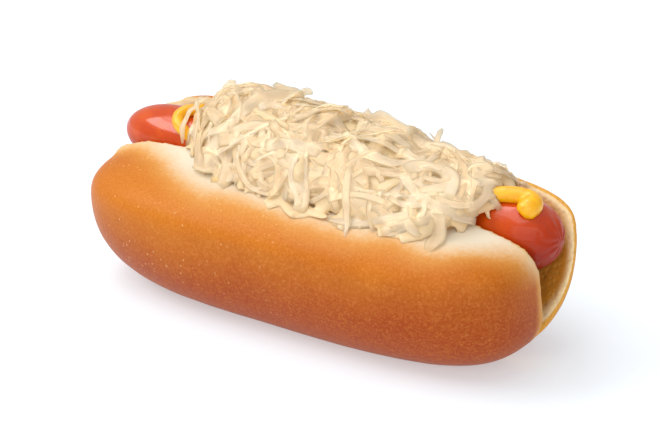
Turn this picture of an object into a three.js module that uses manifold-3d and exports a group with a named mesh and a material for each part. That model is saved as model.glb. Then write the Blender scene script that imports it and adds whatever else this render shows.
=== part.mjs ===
// A hot dog: a sausage in a split bun, with a squeezed line of mustard and a heap of sauerkraut.
// Units are millimetres. X runs along the bun, Y across it towards the taller half, and Z up.
// The bun rests on z = 0, and the origin is under the middle of the whole.

import * as THREE from "three";
import { mergeVertices } from "three/addons/utils/BufferGeometryUtils.js";
import Module from "manifold-3d";

const wasm = await Module();
wasm.setup();

// Room left between pieces that touch.
const GAP = 0.3;
const SHORTEST_EDGE = 0.01;
const SAME_POINT = 0.001;

// The bun's two halves, joined by a hinge along the bottom. The far half stands up straighter and taller.
const NEAR_HALF = { length: 153, width: 35.4, height: 42.2, middle: 27.8, left: 3.5, right: 3.7, section: 2.35 };
const FAR_HALF = { length: 159, width: 27, height: 50, middle: 37.9, left: 5, right: 3.4, section: 2.8 };
const BUN_SINK = 4.3;
const HINGE_BLEND = 0.45;
const HINGE_Y = (NEAR_HALF.width - FAR_HALF.width) / 2;

// The cut between the halves, measured from the hinge line.
const CUT_HEIGHT = 8.9;
const CUT_NEAR_LEAN = THREE.MathUtils.degToRad(12.9);
const CUT_FAR_LEAN = THREE.MathUtils.degToRad(24.9);
const CUT_FLOOR_RADIUS = 1.6;

// The sausage lies in the cut, lower at its right end.
const SAUSAGE_LENGTH = 154.4;
const SAUSAGE_LEFT = { radius: 9.65, end: 18.4, power: 1.98 };
const SAUSAGE_RIGHT = { radius: 10.4, end: 13.2, power: 2.2 };
const SAUSAGE_Y = HINGE_Y + 3.7;
const SAUSAGE_HEIGHT = 39;
const SAUSAGE_TILT = Math.atan(2.32 / 75);

// One string of mustard, squeezed to and fro along the sausage's top, with a round drop at its right end.
const MUSTARD_RADIUS = 2.3;
const MUSTARD_PITCH = 26;
const MUSTARD_SWING = THREE.MathUtils.degToRad(34);
const MUSTARD_LEFT = -51.5;
const MUSTARD_RIGHT = 67.5;
const MUSTARD_DROP_RADIUS = 3.7;

// The heap of sauerkraut: a mound over the sausage and both halves, covered in flat shreds.
const KRAUT_LEFT = -45.5;
const KRAUT_RIGHT = 59;
const KRAUT_HALF_LENGTH = (KRAUT_RIGHT - KRAUT_LEFT) / 2;
const KRAUT_NEAR = 28.5;
const KRAUT_FAR = 20;
const KRAUT_MIDDLE = 40.5;
const KRAUT_TOP_LEFT = 62.5;
const KRAUT_TOP_RIGHT = 54.5;
const KRAUT_DROOP = 3;
const KRAUT_END_POWER = 4;
const SHRED_COUNT = 62;
const SHRED_LENGTH = [13, 24];
const SHRED_WIDTH = [2.4, 3.8];
const SHRED_THICKNESS = 1.2;
const SHRED_STEPS = 5;

// Keeps the sign of a number while raising its size to a power.
function roundPower(value, power) {
  return Math.sign(value) * Math.abs(value) ** power;
}

function mix(a, b, share) {
  return a + (b - a) * share;
}

// The same row of numbers each run, between 0 and 1.
function seededNumbers(seed) {
  let state = seed;
  return () => {
    state = (Math.imul(state, 1664525) + 1013904223) >>> 0;
    return state / 2 ** 32;
  };
}

// Closes a row of point rings, with a point at each end, into one skin that faces outwards.
function skinOfRings(firstPoint, rings, lastPoint) {
  const count = rings[0].length;
  const points = [firstPoint, ...rings.flat(), lastPoint];
  const faces = [];
  const at = (ring, i) => 1 + ring * count + (i % count);
  for (let i = 0; i < count; i++) {
    faces.push(0, at(0, i + 1), at(0, i));
    for (let ring = 0; ring + 1 < rings.length; ring++) {
      faces.push(at(ring, i), at(ring, i + 1), at(ring + 1, i));
      faces.push(at(ring, i + 1), at(ring + 1, i + 1), at(ring + 1, i));
    }
    faces.push(at(rings.length - 1, i), at(rings.length - 1, i + 1), points.length - 1);
  }
  const geometry = new THREE.BufferGeometry().setFromPoints(points);
  geometry.setIndex(faces);
  return geometry;
}

// A closed geometry as a solid for joining and cutting.
function solidOf(geometry) {
  const bare = geometry.clone();
  bare.deleteAttribute("normal");
  bare.deleteAttribute("uv");
  const merged = mergeVertices(bare, SAME_POINT);
  return new wasm.Manifold(
    new wasm.Mesh({
      numProp: 3,
      vertProperties: new Float32Array(merged.attributes.position.array),
      triVerts: new Uint32Array(merged.index.array),
    }),
  );
}

function geometryOf(solid) {
  const mesh = solid.getMesh();
  const geometry = new THREE.BufferGeometry();
  geometry.setAttribute("position", new THREE.BufferAttribute(new Float32Array(mesh.vertProperties), 3));
  geometry.setIndex(new THREE.BufferAttribute(new Uint32Array(mesh.triVerts), 1));
  geometry.computeVertexNormals();
  return geometry;
}

// The largest closed body of a solid, without loose scraps, sealed hollows and edges too short to matter.
function largestBody(solid) {
  const largest = (whole) => whole.decompose().reduce((best, body) => (body.volume() > best.volume() ? body : best));
  return largest(solidOf(geometryOf(largest(solid).simplify(SHORTEST_EDGE))));
}

// Stations along a rounded body, close together at its ends, as angles from one end to the other.
function stationAngles(count) {
  const angles = [];
  for (let i = 1; i < count; i++) {
    angles.push((Math.PI / 2) * (1 - Math.cos((Math.PI * i) / count)));
  }
  return angles;
}

// A point on the uncut loaf. Turn runs round the section from the far side over the top.
function loafPoint(angle, turn, margin) {
  const far = THREE.MathUtils.smoothstep(Math.cos(turn), -HINGE_BLEND, HINGE_BLEND);
  const blend = (name) => mix(NEAR_HALF[name], FAR_HALF[name], far);
  const endPower = angle < Math.PI / 2 ? blend("left") : blend("right");
  const share = Math.sin(angle) ** (2 / endPower);
  const across = roundPower(Math.cos(turn), 2 / blend("section"));
  const up = roundPower(Math.sin(turn), 2 / blend("section"));
  const middle = blend("middle");
  const reach = up > 0 ? blend("height") - middle : middle + BUN_SINK;
  return new THREE.Vector3(
    -roundPower(Math.cos(angle), 2 / endPower) * (blend("length") / 2 + margin),
    HINGE_Y + across * share * (blend("width") + margin),
    middle + up * share * (reach + margin),
  );
}

// The whole loaf before it is cut, grown outwards by a margin, flat where it rests.
function loafSolid(margin) {
  const ringPoints = 38;
  const rings = stationAngles(28).map((angle) => {
    const ring = [];
    for (let i = 0; i < ringPoints; i++) {
      ring.push(loafPoint(angle, (2 * Math.PI * i) / ringPoints, margin));
    }
    return ring;
  });
  const endHeight = (NEAR_HALF.middle + FAR_HALF.middle) / 2;
  const halfLength = (NEAR_HALF.length + FAR_HALF.length) / 4 + margin;
  const left = new THREE.Vector3(-halfLength, HINGE_Y, endHeight);
  const right = new THREE.Vector3(halfLength, HINGE_Y, endHeight);
  const table = new THREE.BoxGeometry(2 * FAR_HALF.length, 4 * NEAR_HALF.width, FAR_HALF.height);
  table.translate(0, 0, -FAR_HALF.height / 2 - margin);
  return solidOf(skinOfRings(left, rings, right)).subtract(solidOf(table));
}

// Places a piece that was made along the X axis where the sausage lies.
const alongSausage = new THREE.Matrix4()
  .makeTranslation(0, SAUSAGE_Y, SAUSAGE_HEIGHT)
  .multiply(new THREE.Matrix4().makeRotationY(SAUSAGE_TILT));

// The wedge of air between the two halves, narrowed by a margin.
function cutSolid(margin) {
  const floorY = HINGE_Y - SAUSAGE_Y;
  const floorZ = CUT_HEIGHT - SAUSAGE_HEIGHT;
  const radius = CUT_FLOOR_RADIUS - margin;
  const bisector = (CUT_FAR_LEAN - CUT_NEAR_LEAN) / 2;
  const halfAngle = (CUT_FAR_LEAN + CUT_NEAR_LEAN) / 2;
  const toCentre = CUT_FLOOR_RADIUS / Math.sin(halfAngle);
  const centre = new THREE.Vector2(
    floorY + Math.sin(bisector) * toCentre,
    floorZ + Math.cos(bisector) * toCentre,
  );
  const wallLength = 2 * FAR_HALF.height;
  const wedge = new THREE.Shape();
  const nearFoot = new THREE.Vector2(-Math.cos(CUT_NEAR_LEAN), -Math.sin(CUT_NEAR_LEAN))
    .multiplyScalar(radius)
    .add(centre);
  const farFoot = new THREE.Vector2(Math.cos(CUT_FAR_LEAN), -Math.sin(CUT_FAR_LEAN))
    .multiplyScalar(radius)
    .add(centre);
  wedge.moveTo(farFoot.x + Math.sin(CUT_FAR_LEAN) * wallLength, farFoot.y + Math.cos(CUT_FAR_LEAN) * wallLength);
  wedge.lineTo(nearFoot.x - Math.sin(CUT_NEAR_LEAN) * wallLength, nearFoot.y + Math.cos(CUT_NEAR_LEAN) * wallLength);
  wedge.absarc(centre.x, centre.y, radius, Math.PI + CUT_NEAR_LEAN, 2 * Math.PI - CUT_FAR_LEAN, false);
  wedge.closePath();
  const depth = 2 * FAR_HALF.length;
  const prism = new THREE.ExtrudeGeometry(wedge, { depth, bevelEnabled: false, curveSegments: 5 });
  prism.translate(0, 0, -depth / 2);
  prism.applyMatrix4(
    new THREE.Matrix4().makeBasis(
      new THREE.Vector3(0, 1, 0),
      new THREE.Vector3(0, 0, 1),
      new THREE.Vector3(1, 0, 0),
    ),
  );
  prism.applyMatrix4(alongSausage);
  return solidOf(prism);
}

// The sausage's radius at a place along it: a long round end on the left and a blunter one on the right.
function sausageRadius(x) {
  const side = x < 0 ? SAUSAGE_LEFT : SAUSAGE_RIGHT;
  const full = mix(SAUSAGE_LEFT.radius, SAUSAGE_RIGHT.radius, x / SAUSAGE_LENGTH + 0.5);
  const fromEnd = SAUSAGE_LENGTH / 2 - Math.abs(x);
  const share = THREE.MathUtils.clamp(1 - fromEnd / side.end, 0, 1);
  return full * (1 - share ** side.power) ** (1 / side.power);
}

function sausageSolid(margin) {
  const steps = 26;
  const profile = [];
  for (let i = 0; i <= steps; i++) {
    const angle = (Math.PI * i) / steps;
    const x = (-Math.cos(angle) * SAUSAGE_LENGTH) / 2;
    const outer = i % steps === 0 ? 0 : sausageRadius(x) + margin;
    profile.push(new THREE.Vector2(outer, x - margin * Math.cos(angle)));
  }
  const lathe = new THREE.LatheGeometry(profile, 26);
  lathe.rotateZ(-Math.PI / 2);
  lathe.applyMatrix4(alongSausage);
  return solidOf(lathe);
}

// A point on the sausage's skin, lifted off it. Lean is measured from the top, towards the near half.
function onSausage(x, lean, lift) {
  const reach = sausageRadius(x) + lift;
  return new THREE.Vector3(x, -Math.sin(lean) * reach, Math.cos(lean) * reach).applyMatrix4(alongSausage);
}

// A round tube along a smooth curve, closed at both ends.
function tubeSolid(curve, radius, sides, steps) {
  const circle = new THREE.Shape();
  for (let i = 0; i < sides; i++) {
    const turn = (2 * Math.PI * (i + 0.5)) / sides;
    const corner = [Math.cos(turn) * radius, Math.sin(turn) * radius];
    if (i === 0) circle.moveTo(...corner);
    else circle.lineTo(...corner);
  }
  circle.closePath();
  return solidOf(new THREE.ExtrudeGeometry(circle, { steps, extrudePath: curve, bevelEnabled: false }));
}

// The line that the mustard's middle follows: swings from side to side, then runs straight to the drop.
function mustardCurve() {
  const points = [];
  const swings = Math.floor((2 * (KRAUT_RIGHT - MUSTARD_LEFT)) / MUSTARD_PITCH);
  const lift = MUSTARD_RADIUS * 0.7;
  points.push(onSausage(MUSTARD_LEFT + MUSTARD_PITCH / 4, MUSTARD_SWING * 1.5, lift));
  points.push(onSausage(MUSTARD_LEFT, MUSTARD_SWING * 0.8, lift));
  for (let i = 1; i < swings; i++) {
    const lean = i % 2 === 1 ? -MUSTARD_SWING : MUSTARD_SWING;
    points.push(onSausage(MUSTARD_LEFT + (i * MUSTARD_PITCH) / 2, lean, lift));
  }
  points.push(onSausage(MUSTARD_RIGHT - 1.5 * MUSTARD_DROP_RADIUS, 0, lift));
  points.push(onSausage(MUSTARD_RIGHT, MUSTARD_SWING / 2, lift / 2));
  return new THREE.CatmullRomCurve3(points);
}

function mustardSolid(margin) {
  const curve = mustardCurve();
  const tube = tubeSolid(curve, MUSTARD_RADIUS + margin, 7, 42);
  const ends = [
    { place: curve.getPoint(0), radius: MUSTARD_RADIUS },
    { place: curve.getPoint(1), radius: MUSTARD_DROP_RADIUS },
  ];
  return ends.reduce((body, { place, radius }) => {
    const ball = new THREE.SphereGeometry(radius + margin, 12, 8);
    ball.translate(place.x, place.y, place.z);
    return body.add(solidOf(ball));
  }, tube);
}

// A point on the heap: along runs from its left end at -1 to its right end at 1, turn from the far edge over the top.
function krautPoint(along, turn, lift) {
  const share = (1 - Math.abs(along) ** KRAUT_END_POWER) ** (1 / KRAUT_END_POWER);
  const top = mix(KRAUT_TOP_LEFT, KRAUT_TOP_RIGHT, THREE.MathUtils.smoothstep(along, -0.3, 0.85));
  const across = Math.cos(turn);
  const up = Math.sin(turn);
  return new THREE.Vector3(
    (KRAUT_LEFT + KRAUT_RIGHT) / 2 + along * KRAUT_HALF_LENGTH,
    SAUSAGE_Y + across * (share * (across > 0 ? KRAUT_FAR : KRAUT_NEAR) + lift),
    KRAUT_MIDDLE + up * (share * (up > 0 ? top - KRAUT_MIDDLE : KRAUT_DROOP) + lift),
  );
}

function krautCore() {
  const ringPoints = 28;
  const rings = stationAngles(18).map((angle) => {
    const ring = [];
    for (let i = 0; i < ringPoints; i++) {
      const along = -roundPower(Math.cos(angle), 2 / KRAUT_END_POWER);
      ring.push(krautPoint(along, (2 * Math.PI * i) / ringPoints, 0));
    }
    return ring;
  });
  return solidOf(skinOfRings(krautPoint(-1, 0, 0), rings, krautPoint(1, 0, 0)));
}

// One flat shred along a row of points, lying with its broad face to the heap.
function shredSolid(points, width) {
  const heapMiddle = new THREE.Vector3(0, SAUSAGE_Y, KRAUT_MIDDLE - KRAUT_NEAR);
  const rings = points.map((point, i) => {
    const next = points[Math.min(i + 1, points.length - 1)];
    const last = points[Math.max(i - 1, 0)];
    const ahead = next.clone().sub(last).normalize();
    const outward = point.clone().sub(heapMiddle).setX(0).normalize();
    const sideways = outward.clone().cross(ahead).normalize();
    outward.copy(ahead).cross(sideways).normalize();
    const half = (width / 2) * (i === 0 || i === points.length - 1 ? 0.6 : 1);
    return [
      [-half, -SHRED_THICKNESS / 2],
      [half, -SHRED_THICKNESS / 2],
      [half, SHRED_THICKNESS / 2],
      [-half, SHRED_THICKNESS / 2],
    ].map(([s, t]) => point.clone().addScaledVector(sideways, s).addScaledVector(outward, t));
  });
  const first = rings[0].reduce((sum, corner) => sum.add(corner), new THREE.Vector3()).divideScalar(4);
  const last = rings.at(-1).reduce((sum, corner) => sum.add(corner), new THREE.Vector3()).divideScalar(4);
  return solidOf(skinOfRings(first, rings, last));
}

// Moves a row of numbers as a whole until it lies between two limits.
function movedInside(row, lowest, highest) {
  const under = Math.max(0, lowest - Math.min(...row));
  const over = Math.max(0, Math.max(...row) - highest);
  return row.map((value) => value + under - over);
}

// Shreds spread evenly over the heap by the golden ratio, each with its own direction, length and curl.
function krautShreds() {
  const draw = seededNumbers(7);
  const goldenShare = (Math.sqrt(5) - 1) / 2;
  const shreds = [];
  for (let n = 0; n < SHRED_COUNT; n++) {
    const middleAlong = mix(-0.92, 0.92, (n + 0.5) / SHRED_COUNT);
    const middleTurn = mix(0.17, 0.93, (n * goldenShare) % 1) * Math.PI;
    const heading = draw() * Math.PI;
    const length = mix(...SHRED_LENGTH, draw());
    const width = mix(...SHRED_WIDTH, draw());
    const bend = (draw() - 0.5) * 1.6;
    const lift = mix(0.3, 1.6, draw());
    const alongs = [];
    const turns = [];
    for (let i = 0; i <= SHRED_STEPS; i++) {
      const share = i / SHRED_STEPS - 0.5;
      const way = heading + bend * share;
      alongs.push(middleAlong + (share * length * Math.cos(way)) / KRAUT_HALF_LENGTH);
      turns.push(middleTurn + (share * length * Math.sin(way)) / KRAUT_NEAR);
    }
    const keptAlongs = movedInside(alongs, -0.93, 0.94);
    const keptTurns = movedInside(turns, 0.36, Math.PI - 0.04);
    const points = keptAlongs.map((along, i) => krautPoint(along, keptTurns[i], lift + i / SHRED_STEPS));
    shreds.push(shredSolid(points, width));
  }
  return shreds;
}

function meshOf(name, solid, colour, roughness) {
  const material = new THREE.MeshStandardMaterial({ color: colour, roughness, metalness: 0 });
  const mesh = new THREE.Mesh(geometryOf(largestBody(solid)), material);
  mesh.name = name;
  return mesh;
}

const sausageRoom = sausageSolid(GAP);
const bunSolid = loafSolid(0).subtract(cutSolid(0)).subtract(sausageRoom);
const bunRoom = loafSolid(GAP).subtract(cutSolid(GAP));
const heapRoom = sausageRoom.add(mustardSolid(GAP)).add(bunRoom);
const krautSolid = krautShreds()
  .reduce((heap, shred) => heap.add(shred), krautCore())
  .subtract(heapRoom);

const hotDog = new THREE.Group();
hotDog.add(meshOf("bun", bunSolid, 0xd98a3d, 0.6));
hotDog.add(meshOf("sausage", sausageSolid(0), 0xc75a2e, 0.3));
hotDog.add(meshOf("mustard", mustardSolid(0).subtract(sausageRoom), 0xf3b722, 0.35));
hotDog.add(meshOf("sauerkraut", krautSolid, 0xeed9ac, 0.45));

export default hotDog;
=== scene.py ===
import math
import random

import bpy
import numpy as np
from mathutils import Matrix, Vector, noise


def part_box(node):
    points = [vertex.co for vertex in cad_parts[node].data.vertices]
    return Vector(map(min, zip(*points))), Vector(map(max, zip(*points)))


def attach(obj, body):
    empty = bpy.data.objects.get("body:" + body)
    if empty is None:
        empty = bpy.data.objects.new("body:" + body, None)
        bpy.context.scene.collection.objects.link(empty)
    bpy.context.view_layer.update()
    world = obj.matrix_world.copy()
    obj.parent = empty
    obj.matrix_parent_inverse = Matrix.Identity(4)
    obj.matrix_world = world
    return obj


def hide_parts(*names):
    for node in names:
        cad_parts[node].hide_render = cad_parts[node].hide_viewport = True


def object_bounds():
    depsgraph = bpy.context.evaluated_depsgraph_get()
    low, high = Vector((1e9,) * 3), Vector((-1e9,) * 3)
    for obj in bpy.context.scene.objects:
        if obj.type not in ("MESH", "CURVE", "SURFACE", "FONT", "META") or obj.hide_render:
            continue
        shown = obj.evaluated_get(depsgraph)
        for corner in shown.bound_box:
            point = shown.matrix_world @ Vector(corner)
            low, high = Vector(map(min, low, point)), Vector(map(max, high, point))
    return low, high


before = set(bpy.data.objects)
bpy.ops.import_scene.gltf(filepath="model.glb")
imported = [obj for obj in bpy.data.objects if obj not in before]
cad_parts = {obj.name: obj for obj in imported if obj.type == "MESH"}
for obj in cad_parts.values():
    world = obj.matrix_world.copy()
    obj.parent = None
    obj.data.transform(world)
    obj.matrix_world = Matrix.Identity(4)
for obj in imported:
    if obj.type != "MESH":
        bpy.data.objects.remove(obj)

cad_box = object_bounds()

# The bun
# A soft white roll, baked side by side with others: its crust is golden brown below and stays pale beside the split.
# Painted shade darkens the crust further towards its bottom and its right end.
# It is cut from the top nearly down to its base, so the halves hang together there, and the cut faces are crumb, with
# painted shade deep in the cut and under the heap at the left.
# Sizes are in metres. Near is the half towards -Y.
near_half = dict(length=0.153, width=0.0354, height=0.0422, middle=0.0278, left=3.5, right=3.7, section=2.35)
far_half = dict(length=0.1588, width=0.027, height=0.05, middle=0.0379, left=5, right=3.4, section=2.8)
bun_sink = 0.0043
bun_inset = 0.0001
far_rim_rise = 0.0056
far_rim_left = (-0.070, -0.059)
far_rim_right = (-0.026, -0.044)
far_rim_heights = (0.030, 0.047)
loaf_tip_height = 0.033
hinge_blend = 0.45
hinge_y = (near_half["width"] - far_half["width"]) / 2
cut_height = 0.0089
cut_near_lean = math.radians(12.9)
cut_far_lean = math.radians(24.9)
sausage_y = hinge_y + 0.0037
sausage_z = 0.039
sausage_tilt = math.atan(2.32 / 75)
tilt_cos, tilt_sin = math.cos(sausage_tilt), math.sin(sausage_tilt)
bread_voxel = 0.0008
bread_smoothing = 9
crumb_edge = (0.0004, 0.0013)
crumb_relief = ((0.00022, 0.0022, 0), (0.00014, 0.0011, 5))
crust_relief = ((0.00045, 0.027, 0), (0.0001, 0.008, 9))
crust_puff = 0.0003


def smooth_step(value, low, high):
    share = np.clip((value - low) / (high - low), 0, 1)
    return share * share * (3 - 2 * share)


def rounded(value, power):
    return np.sign(value) * np.abs(value) ** power


def rings_to_faces(rings, around):
    """The faces of a skin of point rings, whose two end points come after all the rings."""
    faces = []
    first, last = rings * around, rings * around + 1
    for i in range(around):
        j = (i + 1) % around
        faces.append((first, j, i))
        faces.append((last, (rings - 1) * around + i, (rings - 1) * around + j))
        for ring in range(rings - 1):
            a = ring * around
            faces.append((a + i, a + j, a + around + j, a + around + i))
    return faces


def mesh_piece(name, points, faces, edges=()):
    mesh = bpy.data.meshes.new(name)
    mesh.from_pydata(np.asarray(points).tolist(), list(edges), faces)
    piece = bpy.data.objects.new(name, mesh)
    bpy.context.scene.collection.objects.link(piece)
    return piece


def settle(piece):
    """Turns a piece with its modifiers into one plain mesh of its own."""
    mesh = bpy.data.meshes.new_from_object(piece.evaluated_get(bpy.context.evaluated_depsgraph_get()))
    piece.modifiers.clear()
    piece.data = mesh
    mesh.polygons.foreach_set("use_smooth", [True] * len(mesh.polygons))


def modify(piece, kind, **settings):
    modifier = piece.modifiers.new(kind.lower(), kind)
    for setting, value in settings.items():
        setattr(modifier, setting, value)


def points_of(piece, kind="co"):
    """The places of a piece's points, or with "normal" the ways that its skin looks there."""
    rows = np.empty(len(piece.data.vertices) * 3)
    piece.data.vertices.foreach_get(kind, rows)
    return rows.reshape(-1, 3)


def move_points(piece, points):
    piece.data.vertices.foreach_set("co", np.asarray(points).ravel())
    piece.data.update()


def keep_number(piece, name, values):
    """Stores one number for each point, for the material to read."""
    piece.data.attributes.new(name, "FLOAT", "POINT").data.foreach_set("value", np.asarray(values, dtype=float))


def noise_at(points, size, shift=0.0):
    """Smooth noise between about -1 and 1, with bumps of the given size."""
    return np.array([noise.noise(Vector(p) / size + Vector((shift, 0, 0))) for p in points])


def far_rise(x, z):
    """How much the far half's rim is drawn up near its left end."""
    place = smooth_step(x, *far_rim_right) * smooth_step(x, *far_rim_left)
    return far_rim_rise * place * smooth_step(z, *far_rim_heights)


def loaf_skin(rings, around):
    """The uncut loaf: rounded sections, taller on the far side, that shrink towards both ends."""
    angle = (np.pi / 2) * (1 - np.cos(np.pi * np.arange(1, rings + 1) / (rings + 1)))[:, None]
    turn = (2 * np.pi * np.arange(around) / around)[None]
    far = smooth_step(np.cos(turn), -hinge_blend, hinge_blend)
    blend = {key: near_half[key] + (far_half[key] - near_half[key]) * far for key in near_half}
    end_power = np.where(angle < np.pi / 2, blend["left"], blend["right"])
    share = np.sin(angle) ** (2 / end_power)
    across = rounded(np.cos(turn), 2 / blend["section"])
    up = rounded(np.sin(turn), 2 / blend["section"])
    reach = np.where(up > 0, blend["height"] - blend["middle"], blend["middle"] + bun_sink) - bun_inset
    x = -rounded(np.cos(angle), 2 / end_power) * (blend["length"] / 2 - bun_inset)
    y = hinge_y + across * share * (blend["width"] - bun_inset)
    z = np.maximum(blend["middle"] + up * share * reach, 0)
    z += far * far_rise(x, z)
    ends = [(side * near_half["length"] / 2, hinge_y, loaf_tip_height) for side in (-1, 1)]
    return np.concatenate([np.stack([x, y + 0 * x, z], -1).reshape(-1, 3), ends])


def from_sausage(points):
    """Places points that were made along the X axis where the sausage lies."""
    x, y, z = np.moveaxis(np.asarray(points, dtype=float), -1, 0)
    return np.stack([x * tilt_cos + z * tilt_sin, y + sausage_y, sausage_z - x * tilt_sin + z * tilt_cos], -1)


def to_sausage(points):
    x, y, z = np.moveaxis(np.asarray(points, dtype=float), -1, 0)
    z = z - sausage_z
    return np.stack([x * tilt_cos - z * tilt_sin, y - sausage_y, x * tilt_sin + z * tilt_cos], -1)


def depth_in_bread(points):
    """How far points lie inside the near and the far half, measured from the cut faces."""
    local = to_sausage(points)
    y = local[..., 1] + sausage_y - hinge_y
    z = local[..., 2] + sausage_z - cut_height
    near = -y * math.cos(cut_near_lean) - z * math.sin(cut_near_lean)
    far = y * math.cos(cut_far_lean) - z * math.sin(cut_far_lean)
    return near, far


def depth_under_crust(points, half):
    """How far points lie inside the skin of one half of the uncut loaf."""
    y, z = points[..., 1] - hinge_y, points[..., 2] - half["middle"]
    power = np.where(points[..., 0] < 0, half["left"], half["right"])
    share = np.clip(1 - np.abs(2 * points[..., 0] / half["length"]) ** power, 0, 1) ** (1 / power)
    reach = np.where(z > 0, half["height"] - half["middle"], half["middle"] + bun_sink)
    section = np.abs(y / half["width"]) ** half["section"] + np.abs(z / reach) ** half["section"]
    return (share - section ** (1 / half["section"])) * half["width"]


rings, around = 180, 160
bun = mesh_piece("bun_bread", loaf_skin(rings, around), rings_to_faces(rings, around))
wall = 0.1
wedge_section = [
    (hinge_y - sausage_y, cut_height - sausage_z),
    (hinge_y - sausage_y + math.sin(cut_far_lean) * wall, cut_height - sausage_z + math.cos(cut_far_lean) * wall),
    (hinge_y - sausage_y - math.sin(cut_near_lean) * wall, cut_height - sausage_z + math.cos(cut_near_lean) * wall),
]
wedge_points = from_sausage([(x, y, z) for x in (-wall, wall) for y, z in wedge_section])
wedge = mesh_piece("wedge", wedge_points, [(0, 2, 1), (3, 4, 5), (0, 1, 4, 3), (1, 2, 5, 4), (2, 0, 3, 5)])
modify(bun, "BOOLEAN", operation="DIFFERENCE", solver="EXACT", object=wedge)
modify(bun, "REMESH", mode="VOXEL", voxel_size=bread_voxel)
modify(bun, "SMOOTH", factor=0.5, iterations=bread_smoothing)
settle(bun)
bpy.data.objects.remove(wedge)

bun_points = points_of(bun)
near_depth, far_depth = depth_in_bread(bun_points)
on_far_half = smooth_step(near_depth - far_depth, 0.001, -0.001)
bun_depth = np.where(on_far_half > 0.5, far_depth, near_depth)
crumb = 1 - smooth_step(bun_depth, *crumb_edge)
crumb_shape = sum(height * noise_at(bun_points, size, shift) for height, size, shift in crumb_relief)
crust_shape = sum(height * noise_at(bun_points, size, shift) for height, size, shift in crust_relief) + crust_puff
bun_points = bun_points + points_of(bun, "normal") * (crumb * crumb_shape + (1 - crumb) * crust_shape)[:, None]
bun_low, bun_high = (np.array(corner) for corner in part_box("bun"))
move_points(bun, np.clip(bun_points, bun_low, bun_high))
keep_number(bun, "crumb", crumb)
keep_number(bun, "from_cut", bun_depth)
keep_number(bun, "far_half", on_far_half)
lowered = bun_points - np.outer(far_rise(bun_points[:, 0], bun_points[:, 2] - far_rim_rise * 0.5), (0, 0, 1))
under_crust = [depth_under_crust(bun_points, near_half), depth_under_crust(lowered, far_half)]
keep_number(bun, "under_crust", np.where(on_far_half > 0.5, under_crust[1], under_crust[0]))


class Number:
    """A number in a node tree. Sums written with it add the nodes that work them out."""

    def __init__(self, tree, socket):
        self.tree = tree
        self.socket = socket

    def sum(self, operation, *values, clamp=False):
        return self.tree.add("ShaderNodeMath", {"operation": operation, "use_clamp": clamp}, dict(enumerate(values)))

    def __add__(self, other):
        return self.sum("ADD", self, other)

    def __radd__(self, other):
        return self.sum("ADD", other, self)

    def __sub__(self, other):
        return self.sum("SUBTRACT", self, other)

    def __rsub__(self, other):
        return self.sum("SUBTRACT", other, self)

    def __mul__(self, other):
        return self.sum("MULTIPLY", self, other)

    def __rmul__(self, other):
        return self.sum("MULTIPLY", other, self)

    def __truediv__(self, other):
        return self.sum("DIVIDE", self, other)

    def __rtruediv__(self, other):
        return self.sum("DIVIDE", other, self)

    def __pow__(self, other):
        return self.sum("POWER", self, other)

    def __neg__(self):
        return self.sum("MULTIPLY", self, -1)

    def between(self, low, high):
        """0 below the low value, 1 above the high one, and smooth in between. Low may be the larger."""
        settings = {"interpolation_type": "SMOOTHSTEP"}
        if low < high:
            return self.tree.add("ShaderNodeMapRange", settings, {0: self, 1: low, 2: high, 3: 0.0, 4: 1.0})
        return self.tree.add("ShaderNodeMapRange", settings, {0: self, 1: high, 2: low, 3: 1.0, 4: 0.0})


class Tree:
    """A node tree whose nodes are each added by one call."""

    def __init__(self, nodes):
        self.nodes = nodes

    def add(self, kind, settings=None, inputs=None, output=0):
        node = self.nodes.nodes.new(kind)
        for setting, value in (settings or {}).items():
            setattr(node, setting, value)
        for socket, value in (inputs or {}).items():
            if isinstance(value, Number):
                self.nodes.links.new(value.socket, node.inputs[socket])
            else:
                node.inputs[socket].default_value = value
        return Number(self, node.outputs[output])

    def attribute(self, name):
        return self.add("ShaderNodeAttribute", {"attribute_name": name}, output=2)

    def colours(self, share, low, high):
        """Runs from one colour to another. 6 and 7 are the Mix node's colour sockets."""
        return self.add("ShaderNodeMix", {"data_type": "RGBA"}, {0: share, 6: low, 7: high}, output=2)

    def part_of(self, place, axis):
        """One of a place's three measures: 0 is along the bun, 1 across it and 2 up."""
        return self.add("ShaderNodeSeparateXYZ", {}, {0: place}, output=axis)

    def noise(self, place, size, detail=2.0, rough=0.5):
        inputs = {"Vector": place, "Scale": 1 / size, "Detail": detail, "Roughness": rough}
        return self.add("ShaderNodeTexNoise", {}, inputs)

    def cells(self, place, size):
        return self.add("ShaderNodeTexVoronoi", {}, {"Vector": place, "Scale": 1 / size})


def paint(red, green, blue):
    """A colour as it looks on a screen, from 0 to 255, turned into the light that it reflects."""
    shares = [value / 255 for value in (red, green, blue)]
    return tuple(s / 12.92 if s <= 0.04045 else ((s + 0.055) / 1.055) ** 2.4 for s in shares) + (1.0,)


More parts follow.
